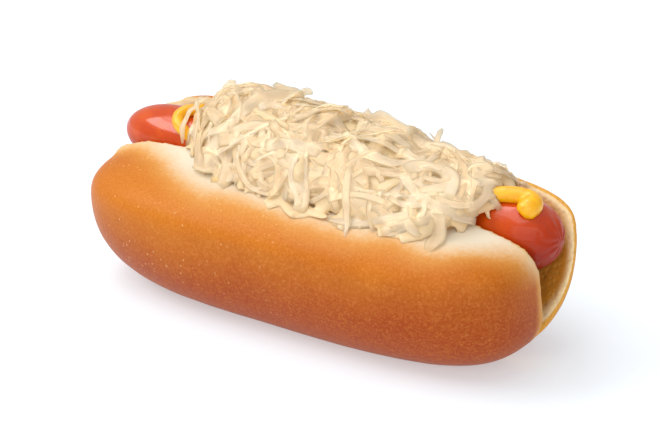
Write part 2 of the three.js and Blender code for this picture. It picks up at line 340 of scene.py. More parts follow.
class Finish(Tree):
    """A material with one Principled surface."""

    def __init__(self, name, **constants):
        material = bpy.data.materials.new(name)
        material.use_nodes = True
        super().__init__(material.node_tree)
        self.material = material
        self.surface = next(node for node in self.nodes.nodes if node.type == "BSDF_PRINCIPLED")
        for socket, value in constants.items():
            self.surface.inputs[socket.replace("_", " ")].default_value = value
        self.place = self.add("ShaderNodeTexCoord", output=3)

    def feed(self, socket, value):
        self.nodes.links.new(value.socket, self.surface.inputs[socket])

    def let_through(self, share, colour):
        """Lets a share of the light pass through the surface."""
        back = self.nodes.nodes.new("ShaderNodeBsdfTranslucent")
        back.inputs["Color"].default_value = colour
        both = self.nodes.nodes.new("ShaderNodeMixShader")
        self.nodes.links.new(share.socket, both.inputs[0])
        self.nodes.links.new(self.surface.outputs[0], both.inputs[1])
        self.nodes.links.new(back.outputs[0], both.inputs[2])
        way_out = next(node for node in self.nodes.nodes if node.type == "OUTPUT_MATERIAL")
        self.nodes.links.new(both.outputs[0], way_out.inputs["Surface"])

    def bump(self, height, distance):
        self.feed("Normal", self.add("ShaderNodeBump", {}, {"Height": height, "Distance": distance, "Strength": 1.0}))

    def dress(self, piece):
        piece.data.materials.clear()
        piece.data.materials.append(self.material)


crust = Finish(
    "baked_crust",
    Subsurface_Weight=0.1,
    Subsurface_Scale=0.002,
    Subsurface_Radius=(1.0, 0.5, 0.25),
    IOR=1.33,
    Specular_IOR_Level=0.3,
)
is_crumb = crust.attribute("crumb")
from_cut = crust.attribute("from_cut")
is_far = crust.attribute("far_half")
height = crust.part_of(crust.place, 2)
clouds = crust.noise(crust.place, 0.022, 3.0)
mottle = crust.noise(crust.place, 0.0011, 3.0, 0.65)
crust_x = crust.part_of(crust.place, 0)
# Darker towards the bottom and towards the right end: partly the browner baked underside, partly painted shade from
# the light above and on the left.
browning_and_shade = height + (clouds - 0.5) * 0.018 - crust_x * 0.065
browning_and_shade = crust.colours(browning_and_shade.between(0.042, 0.010), paint(202, 118, 26), paint(158, 60, 4))
browning_and_shade = crust.colours(crust_x.between(-0.050, -0.078) * 0.45, browning_and_shade, paint(176, 84, 10))
browning_and_shade = crust.colours(mottle.between(0.35, 0.8) * 0.4, browning_and_shade, paint(202, 118, 42))
grain = crust.noise(crust.place, 0.0007, 2.0, 0.7)
browning_and_shade = crust.colours(grain.between(0.48, 0.72) * 0.23, browning_and_shade, paint(222, 152, 84))
browning_and_shade = crust.colours(grain.between(0.5, 0.3) * 0.2, browning_and_shade, paint(150, 66, 18))
pale_edge = from_cut + (clouds - 0.5) * 0.009 + (mottle - 0.5) * 0.004 + crust_x.between(0.05, 0.074) * 0.012
pale_edge = pale_edge + crust_x.between(-0.028, -0.066) * 0.015
pale_edge = pale_edge - crust_x.between(-0.040, -0.018) * crust_x.between(0.050, 0.030) * 0.0018
upper = (1 - is_far) * height.between(0.027, 0.037)
pale = upper * pale_edge.between(0.0258, 0.0135)
crust_colour = crust.colours(pale, browning_and_shade, paint(220, 162, 84))
golden_rim = from_cut.between(0.0045, 0.001)
crust_colour = crust.colours(golden_rim * 0.8, crust_colour, paint(226, 166, 82))
left_lip = is_far * crust_x.between(-0.032, -0.044) * from_cut.between(0.0026, 0.0012)
crust_colour = crust.colours(left_lip * 0.8, crust_colour, paint(214, 192, 152))
crust_colour = crust.colours(upper * pale_edge.between(0.0205, 0.0098), crust_colour, paint(224, 210, 186))
specks = crust.cells(crust.place, 0.0021).between(0.2, 0.1) * crust.noise(crust.place, 0.010).between(0.42, 0.6)
specks = specks * crust_x.between(0.05, -0.05)
crust_colour = crust.colours(specks * 0.45, crust_colour, paint(250, 206, 140))
under_crust = crust.attribute("under_crust") + (mottle - 0.5) * 0.001
# Painted shade: the crumb turns golden brown deeper in the cut, away from the crust, and less so towards the left end.
groove_shade = (under_crust * (1 - crust_x.between(-0.020, -0.045) * 0.55)).between(0.0016, 0.0052)
# Painted shade: the crumb is greyer towards the left end, where the heap shades it.
crumb_with_heap_shade = crust.colours(crust_x.between(-0.032, -0.044), paint(246, 222, 174), paint(220, 196, 154))
crumb_and_groove_shade = crust.colours(groove_shade, crumb_with_heap_shade, paint(192, 126, 38))
under_lip = under_crust.between(0.0017, 0.0009) * (1 - crust_x.between(-0.032, -0.044) * 0.7)
crumb_and_groove_shade = crust.colours(under_lip, crumb_and_groove_shade, paint(222, 162, 66))
pores = crust.cells(crust.place, 0.0016).between(0.55, 0.1)
crumb_colour = crust.colours(pores * 0.12, crumb_and_groove_shade, paint(222, 176, 104))
crust.feed("Base Color", crust.colours(is_crumb, crust_colour, crumb_colour))
crust.feed("Roughness", 0.42 + is_crumb * 0.4 + (mottle - 0.5) * 0.15 + pale * 0.1)
fine_skin = crust.noise(crust.place, 0.0005, 2.0) * 0.4 + mottle * 0.6
crust.bump(fine_skin * (1 - is_crumb) * 0.35 + specks * 0.5 - pores * is_crumb * 0.7, 0.00025)
crust.dress(bun)
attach(bun, "root")
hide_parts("bun")

# The sausage
# A skinless frankfurter: one smooth rod of cooked meat, set in a tube and rounded off at both ends.
# Its right end is drawn in to a point of fine creases, and it lies between the cut faces of the bun.
sausage_length = 0.1544
sausage_left = dict(radius=0.00965, end=0.0184, power=1.98)
sausage_right = dict(radius=0.0104, end=0.0132, power=2.2)
crease_depth = 0.0003
crease_count = 9
crease_reach = 0.014
crease_wander = 9.0
crease_wander_scale = 220.0
rod_unevenness = 0.0005
rod_unevenness_scale = 45.0
rod_rings = 150
rod_around = 120


class Builder(Tree):
    """A Geometry Nodes tree with named inputs, applied to one piece."""

    def __init__(self, name):
        super().__init__(bpy.data.node_groups.new(name, "GeometryNodeTree"))
        for way in ("INPUT", "OUTPUT"):
            self.nodes.interface.new_socket("Geometry", in_out=way, socket_type="NodeSocketGeometry")
        self.entry = self.nodes.nodes.new("NodeGroupInput")
        self.values = {}

    def given(self, name, value):
        """A named input of the tree and the value that this piece gives it."""
        socket = self.nodes.interface.new_socket(name, in_out="INPUT", socket_type="NodeSocketFloat")
        self.values[socket.identifier] = value
        return Number(self, self.entry.outputs[name])

    def geometry(self):
        return Number(self, self.entry.outputs["Geometry"])

    def named(self, name, kind="FLOAT"):
        return self.add("GeometryNodeInputNamedAttribute", {"data_type": kind}, {"Name": name})

    def make(self, piece, shape, material):
        """Ends the tree in plain, smooth geometry with its material, and turns the piece into it."""
        shape = self.add("GeometryNodeSetShadeSmooth", {}, {0: shape})
        shape = self.add("GeometryNodeRealizeInstances", {}, {0: shape})
        shape = self.add("GeometryNodeSetMaterial", {}, {0: shape, "Material": material})
        way_out = self.nodes.nodes.new("NodeGroupOutput")
        self.nodes.links.new(shape.socket, way_out.inputs[0])
        modifier = piece.modifiers.new("made", "NODES")
        modifier.node_group = self.nodes
        for identifier, value in self.values.items():
            modifier[identifier] = value
        settle(piece)


def sausage_radius(x):
    """The same rule as the tree below, for what lies on the sausage."""
    x = np.asarray(x, dtype=float)
    left = x < 0
    end = np.where(left, sausage_left["end"], sausage_right["end"])
    power = np.where(left, sausage_left["power"], sausage_right["power"])
    full = sausage_left["radius"] + (sausage_right["radius"] - sausage_left["radius"]) * (x / sausage_length + 0.5)
    share = np.clip(1 - (sausage_length / 2 - np.abs(x)) / end, 0, 1)
    return full * (1 - share**power) ** (1 / power)


meat = Finish(
    "sausage_skin",
    Subsurface_Weight=0.12,
    Subsurface_Scale=0.0015,
    Subsurface_Radius=(1.0, 0.35, 0.15),
    Coat_Roughness=0.13,
    Coat_IOR=1.6,
    IOR=1.35,
    Specular_IOR_Level=0.1,
)
meat_noise = meat.noise(meat.place, 0.006, 4.0, 0.6)
meat_fine = meat.noise(meat.place, 0.0008, 2.0)
meat_x = meat.part_of(meat.place, 0)
meat_colour = meat.colours(meat_noise.between(0.3, 0.7), paint(208, 80, 4), paint(196, 65, 4))
# Painted shade: both rounded ends are darker red, where the skin turns away from the light.
ends = meat_x.between(0.062, 0.078) + meat_x.between(-0.068, -0.078)
meat_colour = meat.colours(ends * 0.6, meat_colour, paint(176, 44, 20))
meat_z = meat.part_of(meat.place, 2)
# Painted shade: the lower side of the right end is a darker purple red.
right_end_shade = meat_x.between(0.045, 0.075) * meat_z.between(0.046, 0.030)
meat_colour = meat.colours(right_end_shade * 0.8, meat_colour, paint(140, 34, 28))
pits = meat.cells(meat.place, 0.0030).between(0.16, 0.08) * meat.noise(meat.place, 0.009).between(0.5, 0.6)
meat_colour = meat.colours(pits * 0.5, meat_colour, paint(150, 60, 50))
meat.feed("Base Color", meat_colour)
meat.feed("Coat Weight", 0.25 + meat_z.between(0.040, 0.046) * 0.5)
meat.feed("Roughness", 0.34 + (meat_fine - 0.5) * 0.2 + pits * 0.2)
meat.bump(meat_fine * 0.25 - pits * 1.0 + meat_noise * 0.5, 0.00018)

rod = Builder("sausage_shape")
length = rod.given("Length", sausage_length)
left_radius, left_end, left_power = (rod.given(f"Left {key}", value) for key, value in sausage_left.items())
right_radius, right_end, right_power = (rod.given(f"Right {key}", value) for key, value in sausage_right.items())
depth = rod.given("Crease depth", crease_depth)
reach = rod.given("Crease reach", crease_reach)
line = rod.add("GeometryNodeCurvePrimitiveLine")
line = rod.add("GeometryNodeResampleCurve", {}, {"Curve": line, "Count": rod_rings})
share = rod.add("GeometryNodeSplineParameter")
swing = share.sum("COSINE", share * math.pi)
line_place = rod.add("ShaderNodeCombineXYZ", {}, {0: -swing * length * 0.5})
line = rod.add("GeometryNodeSetPosition", {}, {"Geometry": line, "Position": line_place})
x = rod.part_of(rod.add("GeometryNodeInputPosition"), 0)
is_right = x.sum("GREATER_THAN", x, 0.0)
end = left_end + (right_end - left_end) * is_right
power = left_power + (right_power - left_power) * is_right
full = left_radius + (right_radius - left_radius) * (x / length + 0.5)
from_end = length * 0.5 - x.sum("ABSOLUTE", x)
inner = x.sum("SUBTRACT", 1.0, from_end / end, clamp=True)
radius = full * (1 - inner**power) ** (1 / power)
circle = rod.add("GeometryNodeCurvePrimitiveCircle", {}, {"Resolution": rod_around, "Radius": 1.0})
rod_inputs = {"Curve": line, "Profile Curve": circle, "Scale": radius}
skin = rod.add("GeometryNodeCurveToMesh", {}, rod_inputs)
skin = rod.add("GeometryNodeMergeByDistance", {}, {"Geometry": skin, "Distance": 0.00001})
on_skin = rod.add("GeometryNodeInputPosition")
skin_x, skin_y, skin_z = (rod.part_of(on_skin, axis) for axis in range(3))
angle = skin_y.sum("ARCTAN2", skin_y, skin_z)
out_from_axis = skin_y.sum("SQRT", skin_y * skin_y + skin_z * skin_z)
wander = rod.add("ShaderNodeTexNoise", {}, {"Vector": on_skin, "Scale": crease_wander_scale, "Detail": 1.0})
crease = skin_x.sum("COSINE", angle * float(crease_count) + wander * crease_wander)
crease = crease.sum("POWER", crease * 0.5 + 0.5, 2.0)
to_tip = (length * 0.5 - skin_x) / reach
near_tip = 1 - to_tip.between(0.12, 0.75)
off_pole = out_from_axis.between(0.0002, 0.003)
uneven = rod.add("ShaderNodeTexNoise", {}, {"Vector": on_skin, "Scale": rod_unevenness_scale, "Detail": 1.0})
lift = (uneven - 0.5) * rod_unevenness - depth * crease * near_tip * off_pole
normal = rod.add("GeometryNodeInputNormal")
offset = rod.add("ShaderNodeVectorMath", {"operation": "SCALE"}, {0: normal, "Scale": lift})
skin = rod.add("GeometryNodeSetPosition", {}, {"Geometry": skin, "Offset": offset})
turn_and_place = {"Geometry": skin, "Translation": (0, sausage_y, sausage_z), "Rotation": (0, sausage_tilt, 0)}
skin = rod.add("GeometryNodeTransform", {}, turn_and_place)
sausage = mesh_piece("frankfurter", [(0, 0, 0)], [])
rod.make(sausage, skin, meat.material)
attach(sausage, "root")
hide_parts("sausage")

# The mustard
# One string of smooth yellow mustard, squeezed to and fro along the top of the sausage.
# It shows as a loop at the left and as a bent string with a round drop, where the squeezing stopped, at the right.
string_radius = 0.0021
drop_radius = 0.0032
string_step = 0.0006
string_around = 20
string_voxel = 0.0004
string_smoothing = 6
string_clearance = 0.00005
# The hidden run under the heap: where it starts, how far each swing goes along, its lean and the number of swings.
swing_start = -0.0440
swing_pitch = 0.0135
swing_lean = 34
swing_count = 7


def on_sausage(x, lean, lift):
    """A place over the sausage's skin. Lean is in degrees from the top, towards the near half."""
    lean = np.radians(lean)
    out = sausage_radius(x) + lift
    return from_sausage(np.stack(np.broadcast_arrays(x, -np.sin(lean) * out, np.cos(lean) * out), -1))


def smooth_path(stops, step):
    """A smooth line through rows of numbers, with one row about every step along it."""
    stops = np.array(stops, dtype=float)
    padded = np.concatenate([[2 * stops[0] - stops[1]], stops, [2 * stops[-1] - stops[-2]]])
    rows = []
    for i in range(1, len(padded) - 2):
        a, b, c, d = padded[i - 1 : i + 3]
        count = max(4, int(np.linalg.norm((c - b)[:3]) / step))
        t = (np.arange(count) / count)[:, None]
        rows.append(0.5 * (2 * b + (c - a) * t + (2 * a - 5 * b + 4 * c - d) * t**2 + (3 * b - a - 3 * c + d) * t**3))
    return np.concatenate(rows + [stops[-1:]])


# Each stop is a place along the sausage, a lean in degrees, a lift and a thickness.
mustard_stops = [
    (-0.0425, 66, 0.0008, 0.0014),
    (-0.0470, 56, 0.0012, 0.0018),
    (-0.0512, 44, 0.0014, 0.0020),
    (-0.0528, 30, 0.0014, 0.0021),
    (-0.0518, 15, 0.0014, 0.0020),
    (-0.0488, 1, 0.0013, 0.0019),
    (swing_start, -14, 0.0013, 0.0019),
]
for i in range(1, swing_count + 1):
    lean = swing_lean if i % 2 else -swing_lean
    mustard_stops.append((swing_start + i * swing_pitch, lean, 0.0012, string_radius))
mustard_stops += [
    (0.0595, 15, 0.0013, 0.0024),
    (0.0645, 8, 0.0014, 0.0025),
    (0.0680, 8, 0.0014, 0.0026),
    (0.0694, 16, 0.0014, 0.0029),
    (0.0688, 24, 0.0010, drop_radius),
    (0.0680, 31, 0.0004, 0.0029),
    (0.0675, 36, 0.0000, 0.0018),
]
mustard_places = [tuple(on_sausage(x, lean, lift)) + (thick,) for x, lean, lift, thick in mustard_stops]
mustard_path = smooth_path(mustard_places, string_step)
mustard = mesh_piece("mustard_string", mustard_path[:, :3], [], [(i, i + 1) for i in range(len(mustard_path) - 1)])
keep_number(mustard, "thickness", mustard_path[:, 3])

paste = Finish(
    "mustard_paste",
    Subsurface_Weight=0.3,
    Subsurface_Scale=0.002,
    Subsurface_Radius=(1.0, 0.7, 0.1),
    Coat_Weight=0.25,
    Coat_Roughness=0.15,
    IOR=1.45,
)
paste_noise = paste.noise(paste.place, 0.002, 3.0)
paste.feed("Base Color", paste.colours(paste_noise.between(0.35, 0.7), paint(247, 184, 8), paint(238, 166, 6)))
paste.feed("Roughness", 0.32 + (paste_noise - 0.5) * 0.15)
paste.bump(paste_noise + paste.noise(paste.place, 0.0006) * 0.3, 0.0001)

squeeze = Builder("mustard_string")
string = squeeze.add("GeometryNodeMeshToCurve", {}, {0: squeeze.geometry()})
round_section = squeeze.add("GeometryNodeCurvePrimitiveCircle", {}, {"Resolution": string_around, "Radius": 1.0})
thickness = squeeze.named("thickness")
string_inputs = {"Curve": string, "Profile Curve": round_section, "Scale": thickness, "Fill Caps": True}
squeeze.make(mustard, squeeze.add("GeometryNodeCurveToMesh", {}, string_inputs), paste.material)
modify(mustard, "REMESH", mode="VOXEL", voxel_size=string_voxel)
modify(mustard, "SMOOTH", factor=0.5, iterations=string_smoothing)
settle(mustard)
mustard_local = to_sausage(points_of(mustard))
distance = np.hypot(mustard_local[:, 1], mustard_local[:, 2])
skin_distance = sausage_radius(mustard_local[:, 0]) + string_clearance
grow = np.where(distance < skin_distance, skin_distance / distance, 1)
mustard_local[:, 1:] *= grow[:, None]
move_points(mustard, from_sausage(mustard_local))
paste.dress(mustard)
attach(mustard, "root")
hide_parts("mustard")

# The sauerkraut
# White cabbage cut into thin flat shreds and soured until it is limp, wet and a little see-through.
# A packed middle carries hundreds of loose shreds that lie over each other, over the sausage and onto the bun.
heap = dict(far=0.020, middle=0.0405, droop=0.003)
# Where the heap starts and ends, as shares of the way down over the near half and places along it.
heap_left = [(-0.2, -0.0434), (0.05, -0.0431), (0.2, -0.0448), (0.42, -0.0510), (0.7, -0.0500)]
heap_right = [(-0.2, 0.0580), (0.05, 0.0594), (0.25, 0.0588), (0.5, 0.0574), (0.8, 0.0552)]
heap_end_power = 4.5
heap_cover = 0.0024
heap_near_span = 0.028
halves_overlap = 0.004
sausage_reach = 0.077
# Leans and distances are measured round this height. Bulges are sized along the heap, in lean and outwards.
axis_z = 0.030
lump_length, lump_lean, lump_height = 0.010, 0.36, 0.0011
# The line of the heap's top, as places along it and heights.
heap_top = [
    (-0.0455, 0.0618), (-0.0400, 0.0636), (-0.0325, 0.0646), (-0.0275, 0.0644), (-0.0215, 0.0610), (-0.0160, 0.0610),
    (-0.0053, 0.0617), (0.0030, 0.0608), (0.0090, 0.0564), (0.0155, 0.0612), (0.0220, 0.0594), (0.0290, 0.0558),
    (0.0355, 0.0562), (0.0450, 0.0548), (0.0530, 0.0570), (0.0600, 0.0560),
]
# How far the heap comes down over the near half, as places along it and distances from the sausage.
heap_near = [
    (-0.046, 0.0150), (-0.040, 0.0170), (-0.0328, 0.0200), (-0.0205, 0.0232), (-0.009, 0.0258), (0.0084, 0.0260),
    (0.020, 0.0275), (0.031, 0.0285), (0.043, 0.0275), (0.055, 0.0255), (0.059, 0.0230),
]
packed_count = 300
loose_count = 300
shred_lengths = (0.010, 0.030)
shred_widths = (0.0014, 0.0050)
shred_thickness = 0.00028
shred_step = 0.0013
shred_dip = 0.0004
pile_rise = 0.0005
lean_radius = 0.03
least_out = 0.008
stray_length = 0.012
heap_voxel = 0.00046
heap_smoothing = 4

cabbage = Finish(
    "soured_cabbage",
    Subsurface_Weight=0.75,
    Subsurface_Scale=0.0035,
    Subsurface_Radius=(1.0, 0.85, 0.65),
    Coat_Weight=0.2,
    Coat_Roughness=0.3,
    IOR=1.38,
)
cabbage.surface.subsurface_method = "BURLEY"
tone = cabbage.attribute("tone")
high = cabbage.attribute("high")
across = cabbage.attribute("across")
along = cabbage.attribute("along")
fibre_place = cabbage.add("ShaderNodeCombineXYZ", {}, {0: across * 2.6, 1: along * 120.0, 2: tone * 60.0})
fibres = cabbage.noise(fibre_place, 1.0, 2.0)
blotches = cabbage.noise(cabbage.place, 0.006, 2.0)
loose = cabbage.attribute("loose")
cabbage_colour_and_shade = cabbage.colours((tone + (blotches - 0.5) * 0.8).between(-0.1, 1.1), paint(226, 216, 198), paint(217, 198, 169))
# Painted shade: the packed middle, seen between the loose shreds, is a warmer tan like shaded cabbage.
cabbage_colour_and_shade = cabbage.colours(1 - loose, cabbage_colour_and_shade, paint(236, 208, 162))
# Painted shade: loose shreds lying low, in the hollows of the heap, are more golden.
cabbage_colour_and_shade = cabbage.colours(loose * high.between(0.0012, 0.0001), cabbage_colour_and_shade, paint(246, 214, 154))
cabbage_colour_and_shade = cabbage.colours(loose * fibres.between(0.45, 0.75) * 0.5, cabbage_colour_and_shade, paint(248, 238, 218))
# Painted shade: the packed middle is a deeper tan in its own hollows.
cabbage_colour_and_shade = cabbage.colours((1 - loose) * high.between(0.0008, -0.0006) * 0.8, cabbage_colour_and_shade, paint(226, 176, 106))
cabbage.feed("Base Color", cabbage_colour_and_shade)
rim = across.sum("ABSOLUTE", across).between(0.55, 1.0)
tip = cabbage.attribute("from_tip").between(0.002, 0.0)
cabbage.feed("Alpha", 1 - loose * (0.15 + 0.6 * rim.sum("MAXIMUM", rim, tip)))
cabbage.feed("Roughness", 0.4 + (fibres - 0.5) * 0.25)
cabbage.bump(fibres, 0.00022)
cabbage.let_through(0.1 + loose * 0.35, paint(255, 248, 230))


def heap_share(x, near):
    """How far the heap's section has grown at a place along it, and the height of its top there."""
    left, right = np.interp(near, *zip(*heap_left)), np.interp(near, *zip(*heap_right))
    along = (2 * x - left - right) / (right - left)
    share = np.clip(1 - np.abs(along) ** heap_end_power, 0, 1) ** (1 / heap_end_power)
    return share, np.interp(x, *zip(*heap_top)), np.interp(x, *zip(*heap_near))


def in_heap(points):
    y, z = points[..., 1] - sausage_y, points[..., 2] - heap["middle"]
    share, top, reach = heap_share(points[..., 0], -y / heap_near_span)
    half = np.where(y > 0, heap["far"], reach) * share - heap_cover
    tall = np.where(z > 0, (top - heap["middle"]) * share - heap_cover, heap["droop"])
    return (half > 0) & (tall > 0) & ((y / np.maximum(half, 1e-6)) ** 2 + (z / np.maximum(tall, 1e-6)) ** 2 < 1)


def in_bun(points):
    near_depth, far_depth = depth_in_bread(points)
    inside = np.zeros(points.shape[:-1], dtype=bool)
    for half, depth, side in ((near_half, near_depth, -1), (far_half, far_depth, 1)):
        on_side = (points[..., 1] - hinge_y) * side > -halves_overlap
        inside |= (depth_under_crust(points, half) > 0) & (depth > 0) & on_side
    return inside


def in_sausage(points):
    local = to_sausage(points)
    along = np.clip(local[..., 0], -sausage_reach, sausage_reach)
    return np.hypot(local[..., 1], local[..., 2]) < sausage_radius(along)


# What the shreds lie on, as a distance from a line inside the bun, for each place along it and each lean.
cell = 0.001
ground_x = np.arange(-0.070, 0.0801, cell)
ground_lean = np.radians(np.arange(-116, 117, 2))
lean_step = ground_lean[1] - ground_lean[0]
ground_out = np.arange(0.0, 0.062, 0.0003)
outward = np.stack([0 * ground_lean, -np.sin(ground_lean), np.cos(ground_lean)], -1)
probe = np.zeros((len(ground_x), len(ground_lean), len(ground_out), 3))
probe[..., 0] = ground_x[:, None, None]
probe[..., 1:] = (outward[:, None, 1:] * ground_out[None, :, None])[None]
probe += (0, sausage_y, axis_z)
heap_hit = in_heap(probe)
solid_hit = heap_hit | in_bun(probe) | in_sausage(probe)


def heap_lumps(x, lean):
    """How far the heap bulges at a place along it and a lean."""
    x, lean = np.broadcast_arrays(x, lean)
    places = np.stack([x / lump_length, lean / lump_lean, 0 * x], -1).reshape(-1, 3)
    return lump_height * np.array([noise.noise(Vector(place)) for place in places]).reshape(x.shape)


def outermost(hits):
    return np.where(hits.any(-1), ground_out[hits.shape[-1] - 1 - hits[..., ::-1].argmax(-1)], 0)


ground = outermost(solid_hit)
on_heap = heap_hit.any(-1) & (outermost(heap_hit) >= ground - 0.0002)
ground = ground + on_heap * heap_lumps(probe[..., 0, 0], ground_lean[None])
beside_heap = on_heap.copy()
for _ in range(3):
    grown = beside_heap.copy()
    for move, axis in ((1, 0), (-1, 0), (1, 1), (-1, 1)):
        grown |= np.roll(beside_heap, move, axis)
    beside_heap = grown
ground_smooth = ground.copy()
for _ in range(3):
    beside = ground_smooth[:-2, 1:-1] + ground_smooth[2:, 1:-1] + ground_smooth[1:-1, :-2] + ground_smooth[1:-1, 2:]
    ground_smooth[1:-1, 1:-1] = (ground_smooth[1:-1, 1:-1] * 2 + beside) / 6
ground = np.maximum(ground, ground_smooth)
slope_x, slope_lean = np.gradient(ground_smooth, cell, lean_step)
pile = ground.copy()


def cell_of(x, lean):
    i = np.clip(np.round((x - ground_x[0]) / cell).astype(int), 0, len(ground_x) - 1)
    j = np.clip(np.round((lean - ground_lean[0]) / lean_step).astype(int), 0, len(ground_lean) - 1)
    return i, j


def height_at(field, x, lean):
    """The height of a field between its cells."""
    i = np.clip((x - ground_x[0]) / cell, 0, len(ground_x) - 1.001)
    j = np.clip((lean - ground_lean[0]) / lean_step, 0, len(ground_lean) - 1.001)
    i0, j0 = i.astype(int), j.astype(int)
    i, j = i - i0, j - j0
    near_row = field[i0, j0] * (1 - j) + field[i0, j0 + 1] * j
    next_row = field[i0 + 1, j0] * (1 - j) + field[i0 + 1, j0 + 1] * j
    return near_row * (1 - i) + next_row * i


def shred_path(x, lean, heading, bend, length):
    """A line over the ground through a place, as places along the heap, leans and headings."""
    count = max(7, int(length / shred_step)) + 1
    shares = np.linspace(0, 1, count)
    angles = heading + bend * (shares - 0.5)
    xs, leans = np.full(count, x), np.full(count, lean)
    middle = count // 2
    for way, stop in ((1, count), (-1, -1)):
        for k in range(middle + way, stop, way):
            spot = cell_of(xs[k - way], leans[k - way])
            out = max(ground[spot], least_out)
            xs[k] = xs[k - way] + way * shred_step * math.cos(angles[k]) / math.hypot(1, slope_x[spot])
            leans[k] = leans[k - way] + way * shred_step * math.sin(angles[k]) / math.hypot(out, slope_lean[spot])
    return shares, xs, leans, angles


def lay_shred(path, width, roll, twist, taper, wave, lifts):
    """Lays one shred on what is there already. Gives its middle line, the way its face looks and its half width."""
    shares, xs, leans, angles = path
    half_width = width / 2 * np.sin(np.pi * (0.05 + 0.9 * shares)) ** taper
    half_width = half_width * (1 + 0.18 * np.sin(wave + shares * 9.0))
    rolls = roll + twist * (shares - 0.5)
    below = []
    for side in np.linspace(-0.8, 0.8, 5):
        offset = side * half_width * np.cos(rolls)
        below.append(height_at(pile, xs - offset * np.sin(angles), leans + offset * np.cos(angles) / lean_radius))
    rest = np.mean(below, 0) * 0.6 + np.max(below, 0) * 0.4
    out = rest.copy()
    for _ in range(4):
        out[1:-1] = np.maximum(out[1:-1] * 0.4 + (out[:-2] + out[2:]) * 0.3, rest[1:-1] - shred_dip)
    out[1:-1] = out[1:-1] * 0.5 + (out[:-2] + out[2:]) * 0.25
    out = out + shred_thickness * 0.5 + np.abs(np.sin(rolls)) * half_width * 0.5
    out = out + lifts[0] * np.clip(1 - shares / 0.4, 0, 1) ** 2 + lifts[1] * np.clip((shares - 0.6) / 0.4, 0, 1) ** 2
    for side in np.linspace(-0.9, 0.9, 7):
        offset = side * half_width * np.cos(rolls)
        spot = cell_of(xs - offset * np.sin(angles), leans + offset * np.cos(angles) / lean_radius)
        np.maximum.at(pile, spot, np.minimum(out, rest + pile_rise))
    i, j = cell_of(xs, leans)
    radial = np.stack([0 * leans, -np.sin(leans), np.cos(leans)], -1)
    round_heap = np.stack([0 * leans, -np.cos(leans), -np.sin(leans)], -1)
    along_heap = np.array([1.0, 0, 0])
    tilt = slope_lean[i, j] / np.maximum(ground[i, j], least_out)
    face = radial - slope_x[i, j][:, None] * along_heap - tilt[:, None] * round_heap
    face /= np.linalg.norm(face, axis=-1, keepdims=True)
    sideways = np.cos(angles)[:, None] * round_heap - np.sin(angles)[:, None] * along_heap
    face = face * np.cos(rolls)[:, None] + sideways * np.sin(rolls)[:, None]
    face /= np.linalg.norm(face, axis=-1, keepdims=True)
    points = radial * out[:, None] + (0, sausage_y, axis_z)
    points[:, 0] = xs
    return points, face, half_width, out - ground[i, j]


def strew(draw, count):
    """Lays shreds one by one, each where the heap is still low, and gives each with its tone and its curl."""
    shreds = []
    while len(shreds) < count:
        some = [spots[draw.randrange(len(spots))] for _ in range(5)]
        i, j = min(some, key=lambda spot: pile[spot] - ground[spot] + draw.random() * 0.0004)
        length = draw.uniform(*shred_lengths)
        x = ground_x[i] + draw.uniform(-0.5, 0.5) * cell
        path = shred_path(x, ground_lean[j], draw.gauss(0.4, 1.0), draw.gauss(0, 1.5), length)
        if not beside_heap[cell_of(path[1], path[2])].all():
            continue
        points, face, half_width, high = lay_shred(
            path,
            width=draw.uniform(*shred_widths),
            roll=draw.gauss(0, 0.14) if draw.random() < 0.93 else draw.gauss(0, 0.6),
            twist=draw.gauss(0, 0.4),
            taper=draw.choice((0.1, 0.14, 0.22)),
            wave=draw.uniform(0, 6),
            lifts=[draw.uniform(0, 0.0014) if draw.random() < 0.2 else 0 for _ in range(2)],
        )
        numbers = dict(half_width=half_width, high=high, along=path[0] * length)
        numbers["from_tip"] = np.minimum(path[0], 1 - path[0]) * length
        numbers["loose"] = np.ones(len(points))
        numbers["cup"] = np.full(len(points), draw.gauss(-0.1, 0.12))
        numbers["tone"] = np.full(len(points), draw.random())
        shreds.append((points, face, numbers))
    return shreds


def strands(name, shreds):
    """One piece of bare middle lines, which carry what the shredder below needs."""
    edges = []
    for points, face, numbers in shreds:
        start = 0 if not edges else edges[-1][1] + 1
        edges += [(start + k, start + k + 1) for k in range(len(points) - 1)]
    piece = mesh_piece(name, np.concatenate([shred[0] for shred in shreds]), [], edges)
    for number in shreds[0][2]:
        keep_number(piece, number, np.concatenate([shred[2][number] for shred in shreds]))
    faces_out = piece.data.attributes.new("face_out", "FLOAT_VECTOR", "POINT")
    faces_out.data.foreach_set("vector", np.concatenate([shred[1] for shred in shreds]).ravel())
    return piece


def single_shred(stops, width, standing=False):
    """A shred through stops that are places along the heap, leans in degrees and lifts off what lies there."""
    line = smooth_path(stops, 1)
    xs, leans = line[:, 0], np.radians(line[:, 1])
    out = height_at(pile, xs, leans)
    for _ in range(8):
        out[1:-1] = (out[:-2] + out[1:-1] * 2 + out[2:]) / 4
    if standing:
        out = out[:1] + 0 * out
    out = out + line[:, 2]
    points = np.stack([xs, sausage_y - np.sin(leans) * out, axis_z + np.cos(leans) * out], -1)
    face = np.stack([0 * xs, -np.sin(leans), np.cos(leans)], -1)
    if standing:
        face = np.tile((0.55, -0.8, 0.25), (len(xs), 1))
    shares = np.linspace(0, 1, len(xs))
    numbers = dict(half_width=width / 2 * np.sqrt(np.clip(4 * (1.02 - shares), 0, 1)), high=np.full(len(xs), 0.001))
    numbers["along"] = shares * stray_length
    numbers["from_tip"] = np.minimum(shares, 1 - shares) * stray_length
    numbers["loose"] = np.ones(len(xs))
    numbers["cup"] = np.full(len(xs), -0.1)
    numbers["tone"] = np.full(len(xs), width * 100)
    return points, face, numbers


